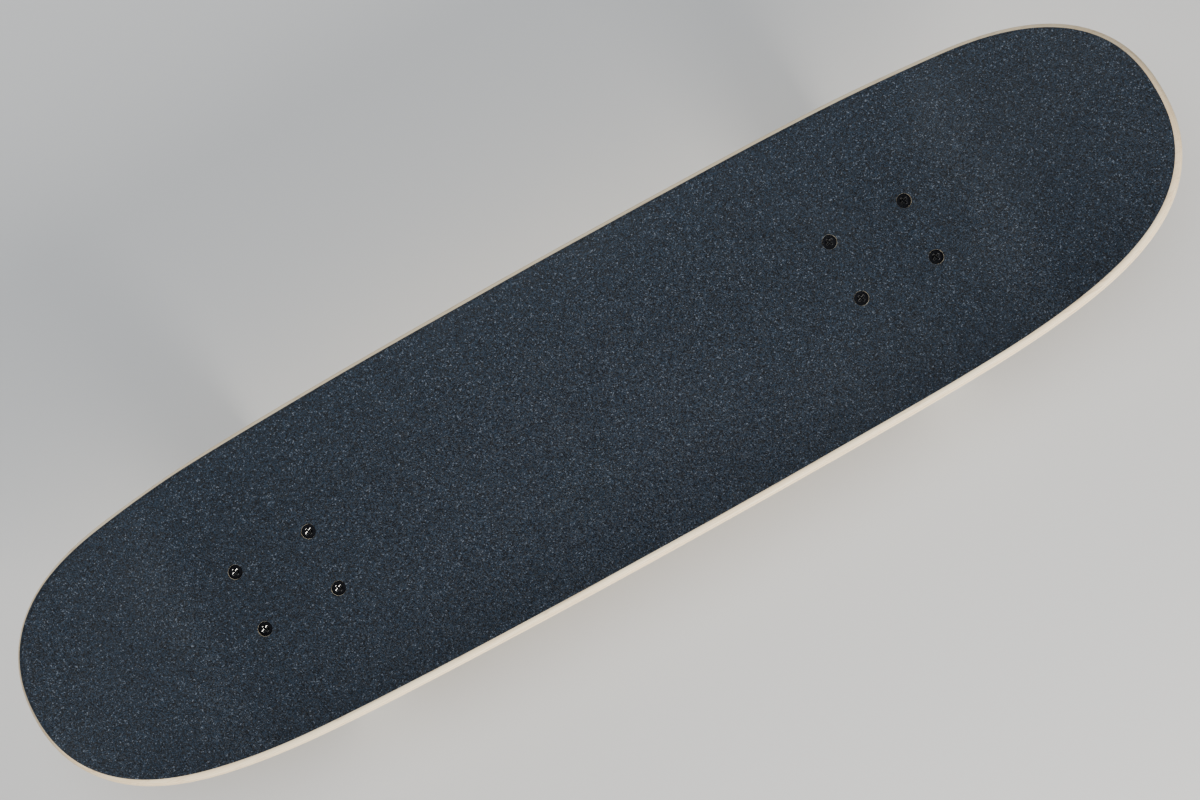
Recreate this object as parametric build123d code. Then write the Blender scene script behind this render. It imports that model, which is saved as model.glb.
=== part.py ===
from build123d import *
from math import cos, pi, radians, sin
import os

# Skateboard, in millimetres. +X points to the nose, +Y to the left rail, +Z up, and the floor is z = 0.

# Deck
deck_thickness = 11.0
deck_width = 205.3
nose_length = 408.0           # from the middle of the wheelbase to the nose tip
tail_length = 392.0
wheelbase_middle = -(nose_length - tail_length) / 2
nose_taper = 0.074            # share of the width lost along the nose half
tail_taper = 0.101
nose_power = 7.41             # how late the nose outline closes
tail_power = 7.94
nose_fullness = 2.274         # how square the nose outline closes
tail_fullness = 2.156
outline_steps = 9             # points on each quarter of the outline
outline_spread = 0.7          # below 1, the points crowd towards the tips
inset_steps = 60              # points round the inset outline
concave_flat = 38.0           # half width of the flat middle of the cross-section
concave_radius = 239.0
concave_reach = 24.0          # degrees of rail arc, enough to pass the widest outline
kick_start = 266.5            # from the middle of the wheelbase to the bend of nose and tail
kick_radius = 120.0
nose_angle = 22.0
tail_angle = 20.0
edge_round = 4.0
side_face_slope = 0.1         # a face steeper than this is the board's side
rail_edge_slope = 0.9         # an edge flatter than this runs along the rail
seam_length = 1.0             # edges shorter than this are left sharp

# Grip tape
tape_thickness = 0.8
tape_inset = 4.0

# Truck places
wheelbase = 381.0             # between the inner bolt holes
bolt_spacing_x = 53.98
bolt_spacing_y = 41.28
front_truck_x = wheelbase_middle + (wheelbase + bolt_spacing_x) / 2
rear_truck_x = wheelbase_middle - (wheelbase + bolt_spacing_x) / 2
wheel_radius = 26.0
axle_drop = 53.0              # from the deck's underside to the axle
underside = wheel_radius + axle_drop
deck_top = underside + deck_thickness

# Mounting bolts and nuts
bolt_radius = 2.4
bolt_length = 25.4
bolt_head_radius = 4.65
bolt_head_rim = 0.4
bolt_head_proud = 0.3         # above the deck, so just below the top of the tape
bolt_hole_gap = 0.1
bolt_tip = 0.6
cross_length = 5.0
cross_width = 1.1
cross_depth = 1.7
cross_taper = 8.0
mounting_nut_flats = 9.5
mounting_nut_height = 5.5

# Baseplate. Truck places are from the middle of the bolt pattern on the deck's underside, down is minus.
plate_length = 84.0
plate_width = 57.0
plate_thickness = 5.5
plate_corner = 9.0
plate_edge = 1.2
plate_hole_gap = 0.25
rib_half_width = 6.5
rib_depth = 12.0
rib_inner_x = -4.0
rib_outer_x = 28.0
pin_boss_radius = 14.0
ring_x = -13.5
ring_z = -31.5
kingpin_lean = radians(25.0)  # from upright, the nut end towards the middle of the board
pivot_x = 29.0
pivot_z = -14.5
pivot_boss_radius = 13.0
pivot_cup_radius = 9.75
pivot_cup_bore = 7.85
pivot_cup_reach = 5.0         # how far cup and boss run past the middle of the ball

# Stations along the kingpin from the middle of the hanger's ring, plus is towards the board
seat_station = 20.1
board_washer_station = 18.6
bushing_station = 4.05
road_bushing_end = -14.5
kingpin_nut_station = -16.0
kingpin_end = -26.5
kingpin_head_station = 26.6
kingpin_head_height = 4.0
kingpin_radius = 4.75
kingpin_tip = 0.8
kingpin_nut_flats = 14.3
kingpin_nut_height = 8.7
kingpin_hole_gap = 0.05

# Bushings and their cup washers
bushing_bore = 4.9
bushing_radius = 12.0
bushing_waist = 12.7
road_bushing_small = 9.6
cup_washer_thickness = 1.5
cup_washer_lip = 1.4
cup_washer_wall = 1.0
cup_washer_gap = 0.6
cup_washer_bore = 4.85

# Hanger
hanger_half = 64.5
hanger_end_radius = 9.0
hanger_end_chamfer = 0.8
wing_start = 9.0              # half width of the full middle section
wing_end = 42.0               # where the wing has become the round barrel
wing_x = 5.5
wing_z = -47.0
wing_depth = 9.5
wing_height = 15.5
ring_radius = 16.5
ring_half = 6.0
ring_chamfer = 1.0
ring_hole = 9.0
ring_seat_radius = 12.8
ring_seat_depth = 2.0
bushing_room = 15.2
ball_radius_pivot = 7.8
nose_neck_radius = 6.0
nose_neck_reach = 7.5
nose_root_radius = 10.5
nose_root_reach = 36.0

# Axle with its nuts and washers
axle_x = 4.0
axle_radius = 3.97
axle_half = 98.6
axle_chamfer = 0.7
axle_nut_flats = 12.7
axle_nut_height = 7.0
speed_washer_thickness = 0.8
speed_washer_radius = 5.9

# Bearings, 8 x 22 x 7, and the spacer between the two of a wheel
bearing_bore = 4.0
bearing_radius = 11.0
bearing_width = 7.0
bearing_chamfer = 0.3
ball_radius = 1.9845
ball_count = 7
pitch_radius = 7.5
ball_clearance = 0.08
outer_land = 8.95
inner_land = 6.05
cage_inner = 7.0
cage_outer = 8.0
cage_width = 4.8
cage_pocket = 2.05
shield_inner = 6.4
shield_station = 2.8          # from the bearing's middle to the shield's inner face
shield_thickness = 0.4
spacer_length = 10.0
spacer_radius = 5.0
spacer_bore = 4.05

# Wheel
wheel_half = 15.5
tread_half = 9.5
wheel_face_radius = 20.0
wheel_shoulder_radius = 24.3
wheel_shoulder_station = 13.7
recess_radius = 12.2
recess_chamfer = 1.0
wheel_bore = 9.0

# Nuts in general
nut_collar_share = 0.25       # of the height, the round collar that holds the nylon ring
nut_collar_inset = 0.4
nut_corner_chamfer = 0.5

stand = (Align.CENTER, Align.CENTER, Align.MIN)
hang = (Align.CENTER, Align.CENTER, Align.MAX)
hexagon_corner = 2 / 3 ** 0.5  # corner radius of a hexagon for each unit of half its flats
bearing_offset = (spacer_length + bearing_width) / 2
wheel_station = hanger_half + speed_washer_thickness + bearing_width + spacer_length / 2
pin_up = Vector(sin(kingpin_lean), 0, cos(kingpin_lean))
pin_out = Vector(cos(kingpin_lean), 0, -sin(kingpin_lean))
ring_centre = Vector(ring_x, 0, ring_z)
pivot_centre = Vector(pivot_x, 0, pivot_z)
axle_centre = Vector(axle_x, 0, -axle_drop)
trucks = {
    "front": Pos(front_truck_x, 0, underside),
    "rear": Pos(rear_truck_x, 0, underside) * Rot(0, 0, 180),
}


def turned(points):
    """A solid turned about Z from corners given as (radius, height)."""
    corners = [(radius, 0, height) for radius, height in points]
    return revolve(make_face(Polyline(*corners, close=True)), Axis.Z)


def tube(outer, inner, low, high):
    return turned([(inner, low), (outer, low), (outer, high), (inner, high)])


def slab_section(low, high):
    """Cross-section of the deck between two heights from its top, wider than the deck."""

    def rail_point(radius, angle, side):
        return side * (concave_flat + radius * sin(angle)), concave_radius - radius * cos(angle)

    low_radius = concave_radius - low
    high_radius = concave_radius - high
    reach = radians(concave_reach)
    edges = []
    for radius in (low_radius, high_radius):
        edges.append(Line(rail_point(radius, 0, -1), rail_point(radius, 0, 1)))
        for side in (-1, 1):
            arc_points = [rail_point(radius, reach * share, side) for share in (0, 0.5, 1)]
            edges.append(ThreePointArc(*arc_points))
    for side in (-1, 1):
        edges.append(Line(rail_point(low_radius, reach, side), rail_point(high_radius, reach, side)))
    return make_face(edges)


def bent_slab(low, high):
    """The section run straight, then up round each bend, then straight along nose and tail."""
    section = slab_section(low, high)
    halves = []
    for side, degrees, length in ((1, nose_angle, nose_length), (-1, tail_angle, tail_length)):
        angle = radians(degrees)
        middle = Plane(origin=(0, 0, 0), x_dir=(0, 1, 0), z_dir=(1, 0, 0))
        flat = extrude(middle * section, amount=side * kick_start)
        bend_start = Plane(origin=(side * kick_start, 0, 0), x_dir=(0, 1, 0), z_dir=(1, 0, 0))
        bend_axis = Axis((side * kick_start, 0, kick_radius), (0, -side, 0))
        bend = revolve(bend_start * section, bend_axis, degrees)
        bend_end = (side * (kick_start + kick_radius * sin(angle)), 0, kick_radius * (1 - cos(angle)))
        kick_plane = Plane(origin=bend_end, x_dir=(0, 1, 0), z_dir=(cos(angle), 0, side * sin(angle)))
        kick = extrude(kick_plane * section, amount=side * (length - kick_start))
        halves.append(flat + bend + kick)
    return halves[0] + halves[1]


def outline_quarter(length, taper, power, fullness):
    """Points from the widest middle to the tip of the nose or tail."""
    points = []
    for step in range(outline_steps + 1):
        share = sin(pi / 2 * step / outline_steps) ** outline_spread
        half_width = deck_width / 2 * (1 - taper * share ** 2) * (1 - share ** power) ** (1 / fullness)
        points.append((share * length, half_width))
    return points


def outline_face(inset=0):
    """Plan of the board, or of a sheet set in from its edge."""
    nose = outline_quarter(nose_length, nose_taper, nose_power, nose_fullness)
    tail = outline_quarter(tail_length, tail_taper, tail_power, tail_fullness)
    left = [(-x, y) for x, y in reversed(tail)][:-1] + nose
    right = [(x, -y) for x, y in reversed(left)][1:-1]
    rim = Spline(*left, *right, periodic=True)
    if inset:
        shares = [step / inset_steps for step in range(inset_steps)]
        inwards = [(rim % share).rotate(Axis.Z, -90) for share in shares]
        moved = [rim @ share + inward * inset for share, inward in zip(shares, inwards)]
        rim = Spline(*moved, periodic=True)
    return make_face(rim)


def on_deck(shape):
    """Moves a shape from the middle of the wheelbase on the deck's top to its place."""
    return Pos(wheelbase_middle, 0, deck_top) * shape


def pressed_sheet(low, high, outline):
    prism = extrude(Pos(0, 0, -deck_top) * outline, amount=2 * deck_top)
    return bent_slab(low, high) & prism


def bolt_places(truck_x):
    grid = GridLocations(bolt_spacing_x, bolt_spacing_y, 2, 2)
    return [Pos(truck_x, 0, 0) * place for place in grid]


def all_bolt_places():
    return bolt_places(front_truck_x) + bolt_places(rear_truck_x)


def bolt_shape(gap):
    """The bolt's outer shape, grown by a gap for the hole that takes it."""
    head_top = deck_top + bolt_head_proud
    rim_low = head_top - bolt_head_rim - gap
    shaft = bolt_radius + gap
    head = bolt_head_radius + gap
    end = head_top - bolt_length
    return turned([
        (0, head_top + gap), (head, head_top + gap), (head, rim_low), (shaft, rim_low - (head - shaft)),
        (shaft, end + bolt_tip), (shaft - bolt_tip, end), (0, end),
    ])


def deck():
    board = pressed_sheet(-deck_thickness, 0, outline_face())
    side_faces = [face for face in board.faces() if abs(face.normal_at(face.center()).Z) < side_face_slope]
    long_edges = [edge for edge in side_faces[0].edges() if edge.length > seam_length and not edge.is_closed]
    rim_edges = [edge for edge in long_edges if abs(edge.tangent_at(0.5).Z) < rail_edge_slope]
    board = on_deck(fillet(rim_edges, edge_round))
    for place in all_bolt_places():
        board -= place * bolt_shape(bolt_hole_gap)
    return board


def grip_tape():
    sheet = on_deck(pressed_sheet(0, tape_thickness, outline_face(tape_inset)))
    hole = Cylinder(bolt_head_radius + bolt_hole_gap, 4 * tape_thickness)
    for place in all_bolt_places():
        sheet -= Pos(0, 0, deck_top) * place * hole
    return sheet


def lock_nut(flats, height, bore):
    """Hexagon with chamfered corners below a round collar, standing on z = 0."""
    hex_height = height * (1 - nut_collar_share)
    hexagon = extrude(RegularPolygon(flats / 2, 6, major_radius=False), amount=hex_height)
    corner = flats / 2 * hexagon_corner
    rounding = turned([
        (0, 0), (corner - nut_corner_chamfer, 0), (corner, nut_corner_chamfer),
        (corner, hex_height - nut_corner_chamfer), (corner - nut_corner_chamfer, hex_height), (0, hex_height),
    ])
    collar = Cylinder(flats / 2 - nut_collar_inset, height, align=stand)
    hole = Cylinder(bore, 3 * height)
    return (hexagon & rounding) + collar - hole


def mounting_bolts(truck_x):
    cross = Rectangle(cross_length, cross_width) + Rectangle(cross_width, cross_length)
    recess = extrude(cross, amount=-cross_depth, taper=cross_taper)
    bolt = bolt_shape(0) - Pos(0, 0, deck_top + bolt_head_proud) * recess
    return [place * bolt for place in bolt_places(truck_x)]


def mounting_nuts(truck_x):
    nut = Pos(0, 0, underside - plate_thickness) * Rot(180, 0, 0) * lock_nut(
        mounting_nut_flats, mounting_nut_height, bolt_radius
    )
    return [place * nut for place in bolt_places(truck_x)]


def on_pin(station):
    """Place on the kingpin's axis at a station, with Z towards the board."""
    return Plane(origin=ring_centre + pin_up * station, x_dir=pin_out, z_dir=pin_up).location


def on_pivot():
    """Place at the middle of the pivot ball, with Z down the hanger's nose."""
    return Plane(origin=pivot_centre, x_dir=(0, 1, 0), z_dir=axle_centre - pivot_centre).location


def on_axle(station):
    """Place on the axle at a station, with Z outwards along it."""
    side = 1 if station >= 0 else -1
    return Pos(axle_x, station, -axle_drop) * Rot(-90 * side, 0, 0)


def cup_hull(radius, reach):
    """Round-bottomed cup about the pivot ball, with its flat mouth towards Z."""
    ball_half = Sphere(radius) & Cylinder(radius, radius, align=hang)
    return ball_half + Cylinder(radius, reach, align=stand)


def baseplate():
    plate = extrude(RectangleRounded(plate_length, plate_width, plate_corner), amount=-plate_thickness)
    plate = chamfer(plate.faces().sort_by(Axis.Z)[0].edges(), plate_edge)
    pin_boss = on_pin(seat_station) * Cylinder(pin_boss_radius, plate_width / 2, align=stand)
    pivot_boss = on_pivot() * cup_hull(pivot_boss_radius, pivot_cup_reach)
    rib = Box(rib_outer_x - rib_inner_x, 2 * rib_half_width, rib_depth, align=hang)
    rib = Pos((rib_inner_x + rib_outer_x) / 2, 0, 0) * rib
    above = Box(3 * plate_length, 3 * plate_width, plate_length, align=stand)
    casting = plate + pin_boss + pivot_boss + rib - above
    head_room = RegularPolygon((kingpin_nut_flats + bolt_hole_gap) / 2, 6, major_radius=False)
    casting -= on_pin(kingpin_head_station) * extrude(head_room, amount=plate_width)
    casting -= on_pin(0) * Cylinder(kingpin_radius + kingpin_hole_gap, 2 * kingpin_head_station + plate_edge)
    casting -= on_pivot() * cup_hull(pivot_cup_radius, 2 * pivot_cup_reach)
    for place in bolt_places(0):
        casting -= place * Cylinder(bolt_radius + plate_hole_gap, 3 * plate_thickness)
    return casting


def pivot_cup():
    cup = cup_hull(pivot_cup_radius, pivot_cup_reach) - cup_hull(pivot_cup_bore, 2 * pivot_cup_reach)
    return on_pivot() * cup


def kingpin():
    shank = turned([
        (0, kingpin_end), (kingpin_radius - kingpin_tip, kingpin_end),
        (kingpin_radius, kingpin_end + kingpin_tip), (kingpin_radius, kingpin_head_station),
        (0, kingpin_head_station),
    ])
    head = extrude(RegularPolygon(kingpin_nut_flats / 2, 6, major_radius=False), amount=kingpin_head_height)
    return on_pin(0) * (shank + Pos(0, 0, kingpin_head_station) * head)


def kingpin_nut():
    nut = lock_nut(kingpin_nut_flats, kingpin_nut_height, kingpin_radius)
    return on_pin(kingpin_nut_station) * Rot(180, 0, 0) * nut


def cup_washer(inner):
    """Dished washer standing on z = 0 with its lip downwards."""
    wall_inner = inner + cup_washer_gap
    wall_outer = wall_inner + cup_washer_wall
    return turned([
        (cup_washer_bore, 0), (wall_inner, 0), (wall_inner, -cup_washer_lip), (wall_outer, -cup_washer_lip),
        (wall_outer, cup_washer_thickness / 2), (wall_outer - cup_washer_wall, cup_washer_thickness),
        (cup_washer_bore, cup_washer_thickness),
    ])


def boardside_cup_washer():
    return on_pin(board_washer_station) * cup_washer(bushing_radius)


def roadside_cup_washer():
    return on_pin(road_bushing_end) * Rot(180, 0, 0) * cup_washer(road_bushing_small)


def boardside_bushing():
    low = (bushing_radius, 0, bushing_station)
    waist = (bushing_waist, 0, (bushing_station + board_washer_station) / 2)
    high = (bushing_radius, 0, board_washer_station)
    bore_low = (bushing_bore, 0, bushing_station)
    bore_high = (bushing_bore, 0, board_washer_station)
    profile = ThreePointArc(low, waist, high) + Polyline(high, bore_high, bore_low, low)
    return on_pin(0) * revolve(make_face(profile), Axis.Z)


def roadside_bushing():
    return on_pin(0) * turned([
        (bushing_bore, -bushing_station), (bushing_radius, -bushing_station),
        (road_bushing_small, road_bushing_end), (bushing_bore, road_bushing_end),
    ])


def cross_plane(x, y, z):
    """Plane across the axle at a point, with its own X along the board."""
    return Plane(origin=(x, y, z), x_dir=(1, 0, 0), z_dir=(0, 1, 0))


def hanger_wing(side):
    """From the deep middle section out to the round barrel."""
    inner = cross_plane(wing_x, side * wing_start, wing_z) * Ellipse(wing_depth, wing_height)
    outer = cross_plane(axle_x, side * wing_end, -axle_drop) * Circle(hanger_end_radius)
    return loft([inner, outer])


def hanger():
    ring = Cylinder(ring_radius, 2 * ring_half)
    ring = on_pin(0) * chamfer(ring.edges().filter_by(GeomType.CIRCLE), ring_chamfer)
    middle_section = cross_plane(wing_x, 0, wing_z) * Ellipse(wing_depth, wing_height)
    middle = extrude(middle_section, amount=wing_start, both=True)
    barrel = Cylinder(hanger_end_radius, 2 * hanger_half)
    barrel = Pos(axle_x, 0, -axle_drop) * Rot(90, 0, 0) * chamfer(
        barrel.edges().filter_by(GeomType.CIRCLE), hanger_end_chamfer)
    nose = on_pivot() * (
        Sphere(ball_radius_pivot) + turned([
            (0, 0), (nose_neck_radius, 0), (nose_neck_radius, nose_neck_reach),
            (nose_root_radius, nose_root_reach), (0, nose_root_reach),
        ]))
    casting = middle + hanger_wing(1) + hanger_wing(-1) + barrel + nose
    for side in (-1, 1):
        room = Cylinder(bushing_room, plate_width, align=stand)
        casting -= on_pin(0) * Rot(90 * (1 - side), 0, 0) * Pos(0, 0, ring_half) * room
    casting += ring
    casting -= on_pin(0) * Cylinder(ring_hole, 4 * ring_half)
    for side in (-1, 1):
        seat = Cylinder(ring_seat_radius, plate_width, align=stand)
        casting -= on_pin(0) * Rot(90 * (1 - side), 0, 0) * Pos(0, 0, ring_half - ring_seat_depth) * seat
    return casting - Pos(axle_x, 0, -axle_drop) * Rot(90, 0, 0) * Cylinder(axle_radius, 3 * hanger_half)


def axle():
    rod = Cylinder(axle_radius, 2 * axle_half)
    rod = chamfer(rod.edges().filter_by(GeomType.CIRCLE), axle_chamfer)
    return Pos(axle_x, 0, -axle_drop) * Rot(90, 0, 0) * rod


def speed_washers():
    inner = hanger_half
    outer = hanger_half + speed_washer_thickness + 2 * bearing_width + spacer_length
    washer = tube(speed_washer_radius, bearing_bore, 0, speed_washer_thickness)
    return [on_axle(side * station) * washer for side in (-1, 1) for station in (inner, outer)]


def axle_nuts():
    station = hanger_half + 2 * speed_washer_thickness + 2 * bearing_width + spacer_length
    nut = lock_nut(axle_nut_flats, axle_nut_height, axle_radius)
    return [on_axle(side * station) * nut for side in (-1, 1)]


def wheel():
    """Solid wheel about Z with a stepped bore for its two bearings."""
    inner_face = spacer_length / 2
    outer_face = inner_face + bearing_width
    upper = [
        (wheel_bore, inner_face), (bearing_radius, inner_face), (bearing_radius, outer_face),
        (recess_radius, outer_face), (recess_radius, wheel_half - recess_chamfer),
        (recess_radius + recess_chamfer, wheel_half), (wheel_face_radius, wheel_half),
    ]
    high = [(radius, 0, height) for radius, height in upper]
    low = [(radius, 0, -height) for radius, height in upper]
    shoulders = []
    for side in (-1, 1):
        shoulders.append(ThreePointArc(
            (wheel_face_radius, 0, side * wheel_half),
            (wheel_shoulder_radius, 0, side * wheel_shoulder_station),
            (wheel_radius, 0, side * tread_half),
        ))
    tread = Line((wheel_radius, 0, -tread_half), (wheel_radius, 0, tread_half))
    bore = Line(low[0], high[0])
    return revolve(make_face([Polyline(*high), Polyline(*low), bore, tread, *shoulders]), Axis.Z)


def at_bearings(shape):
    return [Pos(0, 0, side * bearing_offset) * shape for side in (-1, 1)]


def race(outer, inner):
    ring = tube(outer, inner, -bearing_width / 2, bearing_width / 2)
    groove = Torus(pitch_radius, ball_radius + ball_clearance)
    return chamfer(ring.edges().filter_by(GeomType.CIRCLE), bearing_chamfer) - groove


def outer_races():
    return at_bearings(race(bearing_radius, outer_land))


def inner_races():
    return at_bearings(race(inner_land, bearing_bore))


def ball_places():
    return PolarLocations(pitch_radius, ball_count)


def balls():
    ring = [place * Sphere(ball_radius) for place in ball_places()]
    return [shifted for ball in ring for shifted in at_bearings(ball)]


def ball_cages():
    cage = tube(cage_outer, cage_inner, -cage_width / 2, cage_width / 2)
    pocket = Rot(0, 90, 0) * Cylinder(cage_pocket, cage_outer)
    for place in ball_places():
        cage -= place * pocket
    return at_bearings(cage)


def bearing_shields():
    shields = []
    for side in (-1, 1):
        low = shield_station if side > 0 else -shield_station - shield_thickness
        shields += at_bearings(tube(outer_land, shield_inner, low, low + shield_thickness))
    return shields


def bearing_spacer():
    return tube(spacer_radius, spacer_bore, -spacer_length / 2, spacer_length / 2)


def save(name, shape, place=Pos(0, 0, 0)):
    """Writes one node, a single solid or a group of separate solids."""
    solids = shape if isinstance(shape, list) else [shape]
    moved = [place * solid for item in solids for solid in item.solids()]
    whole = moved[0] if len(moved) == 1 else Compound(children=moved)
    whole.label = name
    export_step(whole, f"parts/{name}.step")


os.makedirs("parts", exist_ok=True)

save("deck", deck())
save("grip_tape", grip_tape())

truck_parts = {
    "baseplate": baseplate(), "pivot_cup": pivot_cup(), "kingpin": kingpin(), "kingpin_nut": kingpin_nut(),
    "boardside_cup_washer": boardside_cup_washer(), "roadside_cup_washer": roadside_cup_washer(),
    "boardside_bushing": boardside_bushing(), "roadside_bushing": roadside_bushing(), "hanger": hanger(),
    "axle": axle(), "speed_washers": speed_washers(), "axle_nuts": axle_nuts(),
}
wheel_parts = {
    "wheel": wheel(), "outer_races": outer_races(), "inner_races": inner_races(), "balls": balls(),
    "ball_cages": ball_cages(), "bearing_shields": bearing_shields(), "bearing_spacer": bearing_spacer(),
}
for end, place in trucks.items():
    for name, shape in truck_parts.items():
        save(f"{end}_{name}", shape, place)
    truck_x = front_truck_x if end == "front" else rear_truck_x
    save(f"{end}_mounting_bolts", mounting_bolts(truck_x))
    save(f"{end}_mounting_nuts", mounting_nuts(truck_x))
    axle_line = truck_x + axle_x if end == "front" else truck_x - axle_x
    for side_name, side in (("left", 1), ("right", -1)):
        hub = Pos(axle_line, side * wheel_station, wheel_radius) * Rot(-90 * side, 0, 0)
        for name, shape in wheel_parts.items():
            save(f"{end}_{side_name}_{name}", shape, hub)
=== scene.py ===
import math

import bmesh
import bpy
from mathutils import Matrix, Vector, noise


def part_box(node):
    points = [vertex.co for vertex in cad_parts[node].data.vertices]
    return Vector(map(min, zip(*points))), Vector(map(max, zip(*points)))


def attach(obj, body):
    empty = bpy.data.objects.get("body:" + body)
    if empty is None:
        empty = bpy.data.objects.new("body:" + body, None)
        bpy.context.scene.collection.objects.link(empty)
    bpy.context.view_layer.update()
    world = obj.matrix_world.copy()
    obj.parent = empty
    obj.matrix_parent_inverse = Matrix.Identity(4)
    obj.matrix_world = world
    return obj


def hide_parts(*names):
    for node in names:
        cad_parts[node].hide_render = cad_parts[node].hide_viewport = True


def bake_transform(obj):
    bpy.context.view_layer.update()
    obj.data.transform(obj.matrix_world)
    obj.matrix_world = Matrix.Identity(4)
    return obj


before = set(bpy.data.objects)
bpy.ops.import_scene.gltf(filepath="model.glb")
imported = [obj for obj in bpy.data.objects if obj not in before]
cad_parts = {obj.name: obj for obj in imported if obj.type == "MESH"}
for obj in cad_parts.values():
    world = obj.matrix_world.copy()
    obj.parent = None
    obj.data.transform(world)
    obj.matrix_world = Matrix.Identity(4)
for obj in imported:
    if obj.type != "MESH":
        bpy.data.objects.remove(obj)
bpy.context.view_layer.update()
fullTurn = 2 * math.pi
ends = ("front", "rear")
sides = ("left", "right")


# mesh helpers

def meshPiece(name, points, faces, material=None, smooth=True):
    mesh = bpy.data.meshes.new(name)
    mesh.from_pydata([tuple(point) for point in points], [], faces)
    mesh.validate()
    piece = bpy.data.objects.new(name, mesh)
    bpy.context.scene.collection.objects.link(piece)
    for face in mesh.polygons:
        face.use_smooth = smooth
    if material:
        mesh.materials.append(material)
    return piece


def applyModifiers(piece):
    # keeps what the modifiers made as the piece's plain mesh
    mesh = bpy.data.meshes.new_from_object(piece.evaluated_get(bpy.context.evaluated_depsgraph_get()))
    piece.modifiers.clear()
    piece.data = mesh
    return piece


def sharpenBy(piece, degrees):
    piece.data.set_sharp_from_angle(angle=math.radians(degrees))
    return piece


def cleanNormals(piece, merge=0.0):
    bm = bmesh.new()
    bm.from_mesh(piece.data)
    if merge:
        bmesh.ops.remove_doubles(bm, verts=bm.verts, dist=merge)
    bmesh.ops.recalc_face_normals(bm, faces=bm.faces)
    bm.to_mesh(piece.data)
    bm.free()
    piece.data.update()


def placeMesh(piece, matrix):
    piece.data.transform(matrix)
    piece.data.update()
    return piece


def addValues(piece, name, values, domain="POINT"):
    # a number on each point or face for the material to read
    attribute = piece.data.attributes.new(name, "FLOAT", domain)
    attribute.data.foreach_set("value", values)


def joinPieces(name, pieces):
    # one mesh out of several of the same material, all already in place
    bm = bmesh.new()
    for piece in pieces:
        bm.from_mesh(piece.data)
    mesh = bpy.data.meshes.new(name)
    bm.to_mesh(mesh)
    bm.free()
    for material in pieces[0].data.materials:
        mesh.materials.append(material)
    for piece in pieces:
        bpy.data.objects.remove(piece)
    joined = bpy.data.objects.new(name, mesh)
    bpy.context.scene.collection.objects.link(joined)
    return joined


def ringFaces(rows, count, closed=False):
    # quads between neighbouring rings; closed joins the last ring to the first
    faces = []
    for row in range(rows if closed else rows - 1):
        low = row * count
        high = (row + 1) % rows * count
        for step in range(count):
            after = (step + 1) % count
            faces.append((low + step, low + after, high + after, high + step))
    return faces


def ringSolid(name, rows, segments, material=None, closed=True):
    # rows of (height, radius) turned about Z; a radius may be a function of the angle
    points = []
    for height, radius in rows:
        for step in range(segments):
            angle = fullTurn * step / segments
            reach = radius(angle) if callable(radius) else radius
            points.append((reach * math.cos(angle), reach * math.sin(angle), height))
    count = len(rows)
    faces = ringFaces(count, segments, closed)
    if not closed:
        faces.append(tuple(reversed(range(segments))))
        faces.append(tuple(range((count - 1) * segments, count * segments)))
    piece = meshPiece(name, points, faces, material)
    cleanNormals(piece)
    return piece


def arcRows(height, radius, size, steps):
    # rows round a corner, from outwards to up
    angles = [math.radians(90 * step / steps) for step in range(steps + 1)]
    return [(height + size * math.sin(angle), radius + size * math.cos(angle)) for angle in angles]


def cutHoles(piece, cutters):
    # takes the cutters out of the piece and throws them away
    cutter = joinPieces("holeCutter", cutters)
    cutter.data.materials.clear()
    tool = piece.modifiers.new("holes", "BOOLEAN")
    tool.object = cutter
    tool.solver = "EXACT"
    applyModifiers(piece)
    bpy.data.objects.remove(cutter)


def settle(piece, body, slotName, *nodes):
    # the closing calls of a piece, with the CAD nodes that it stands for
    if nodes:
        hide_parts(*nodes)
    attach(piece, body)


# node helpers, for shader and geometry trees alike

def feed(tree, value, socket):
    # links an output, or sets a plain value
    if isinstance(value, bpy.types.NodeSocket):
        tree.links.new(value, socket)
    elif socket.type == "RGBA":
        socket.default_value = (*value, 1.0)
    else:
        socket.default_value = value


def addNode(tree, kind, inputs, settings=None):
    node = tree.nodes.new(kind)
    for label, value in (settings or {}).items():
        setattr(node, label, value)
    for label, value in inputs.items():
        feed(tree, value, node.inputs[label])
    return node


def mathNode(tree, operation, *values):
    return addNode(tree, "ShaderNodeMath", dict(enumerate(values)), {"operation": operation}).outputs[0]


def times(tree, first, second):
    return mathNode(tree, "MULTIPLY", first, second)


def plus(tree, first, second):
    return mathNode(tree, "ADD", first, second)


def minus(tree, first, second):
    return mathNode(tree, "SUBTRACT", first, second)


def noiseNode(tree, vector, scale, detail=3.0, roughness=0.55, distortion=0.0):
    inputs = {
        "Vector": vector, "Scale": scale, "Detail": detail, "Roughness": roughness,
        "Distortion": distortion}
    return addNode(tree, "ShaderNodeTexNoise", inputs).outputs["Fac"]


def cellNode(tree, vector, scale):
    return addNode(tree, "ShaderNodeTexVoronoi", {"Vector": vector, "Scale": scale}).outputs


def rangeNode(tree, value, low, high, toLow=0.0, toHigh=1.0):
    inputs = {"Value": value, "From Min": low, "From Max": high, "To Min": toLow, "To Max": toHigh}
    return addNode(tree, "ShaderNodeMapRange", inputs, {"interpolation_type": "SMOOTHSTEP"}).outputs["Result"]


def mixColour(tree, factor, first, second):
    return addNode(tree, "ShaderNodeMix", {0: factor, 6: first, 7: second}, {"data_type": "RGBA"}).outputs[2]


def stain(tree, colour, mask, amount, tint):
    return mixColour(tree, times(tree, mask, amount), colour, tint)


def stretched(tree, vector, scale, turn=(0, 0, 0)):
    return addNode(tree, "ShaderNodeMapping", {"Vector": vector, "Scale": scale, "Rotation": turn}).outputs[0]


def bumpNode(tree, height, distance, strength):
    inputs = {"Height": height, "Distance": distance, "Strength": strength}
    return addNode(tree, "ShaderNodeBump", inputs).outputs["Normal"]


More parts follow.
